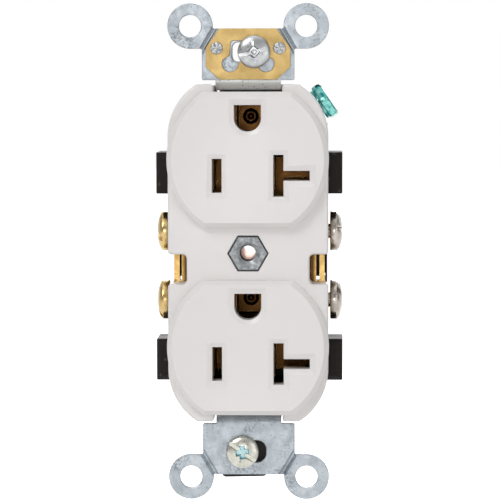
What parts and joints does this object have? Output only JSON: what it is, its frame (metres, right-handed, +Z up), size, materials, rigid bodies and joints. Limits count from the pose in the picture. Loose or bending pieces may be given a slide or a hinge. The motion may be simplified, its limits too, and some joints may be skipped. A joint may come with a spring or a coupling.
{
  "type": "duplex wall outlet",
  "caption": "Side-wired duplex wall outlet with a T-shaped neutral slot, wrap-around steel strap, self-grounding clip and captive screws.",
  "frame": {"origin": "middle of the device in the rear plane of the strap's ears, which seats on the wall", "axes": "+X to the neutral side, +Y into the wall box, +Z up towards the ground screw's end"},
  "size_m": [0.039, 0.0299, 0.1034],
  "materials": {
    "white_nylon": "smooth satin moulding",
    "black_moulding": "fine matt moulding",
    "galvanised_steel": "mottled galvanised sheet",
    "brass": "bright rolled strip",
    "zinc_plated_steel": "bright zinc plate",
    "nickel_plate": "bright nickel plate",
    "green_ground_finish": "green dyed plating",
    "cast_zinc": "grey die casting",
    "copper_plate": "copper plate",
    "black_fibre": "pressed fibre"
  },
  "bodies": {
    "root": {"front_cover": "white_nylon", "back_body": "black_moulding", "mounting_strap": "galvanised_steel", "self_grounding_clip": "brass", "clip_rivet_left": "zinc_plated_steel", "clip_rivet_right": "zinc_plated_steel", "hot_contact_strip": "brass", "neutral_contact_strip": "brass", "ground_contact_upper": "brass", "ground_contact_lower": "brass", "ground_rivet_upper": "brass", "ground_rivet_lower": "brass", "center_bushing": "cast_zinc", "assembly_rivet": "copper_plate"},
    "mounting_screw_top": {"mounting_screw_top": "zinc_plated_steel"},
    "mounting_screw_bottom": {"mounting_screw_bottom": "zinc_plated_steel"},
    "retaining_washer": {"retaining_washer": "black_fibre"},
    "hot_terminal_screw_upper": {"hot_terminal_screw_upper": "brass"},
    "hot_terminal_screw_lower": {"hot_terminal_screw_lower": "brass"},
    "neutral_terminal_screw_upper": {"neutral_terminal_screw_upper": "nickel_plate"},
    "neutral_terminal_screw_lower": {"neutral_terminal_screw_lower": "nickel_plate"},
    "ground_screw": {"ground_screw": "green_ground_finish"}
  },
  "joints": [
    {"name": "top_screw_drive", "type": "slide", "parent": "root", "child": "mounting_screw_top", "axis": [0, -1, 0], "range_m": [-0.0002, 0.014]},
    {"name": "washer_slide", "type": "slide", "parent": "root", "child": "retaining_washer", "axis": [1, 0, 0], "range_m": [-0.00045, 0.003]},
    {"name": "bottom_screw_drive", "type": "slide", "parent": "retaining_washer", "child": "mounting_screw_bottom", "axis": [0, -1, 0], "range_m": [-0.0002, 0.014]},
    {"name": "hot_upper_screw_drive", "type": "slide", "parent": "root", "child": "hot_terminal_screw_upper", "axis": [-1, 0, 0], "range_m": [-0.001, 0.0022]},
    {"name": "hot_lower_screw_drive", "type": "slide", "parent": "root", "child": "hot_terminal_screw_lower", "axis": [-1, 0, 0], "range_m": [-0.001, 0.0022]},
    {"name": "neutral_upper_screw_drive", "type": "slide", "parent": "root", "child": "neutral_terminal_screw_upper", "axis": [1, 0, 0], "range_m": [-0.001, 0.0022]},
    {"name": "neutral_lower_screw_drive", "type": "slide", "parent": "root", "child": "neutral_terminal_screw_lower", "axis": [1, 0, 0], "range_m": [-0.001, 0.0022]},
    {"name": "ground_screw_drive", "type": "slide", "parent": "root", "child": "ground_screw", "axis": [0.8241, 0, 0.5664], "range_m": [-0.0005, 0.003]}
  ]
}
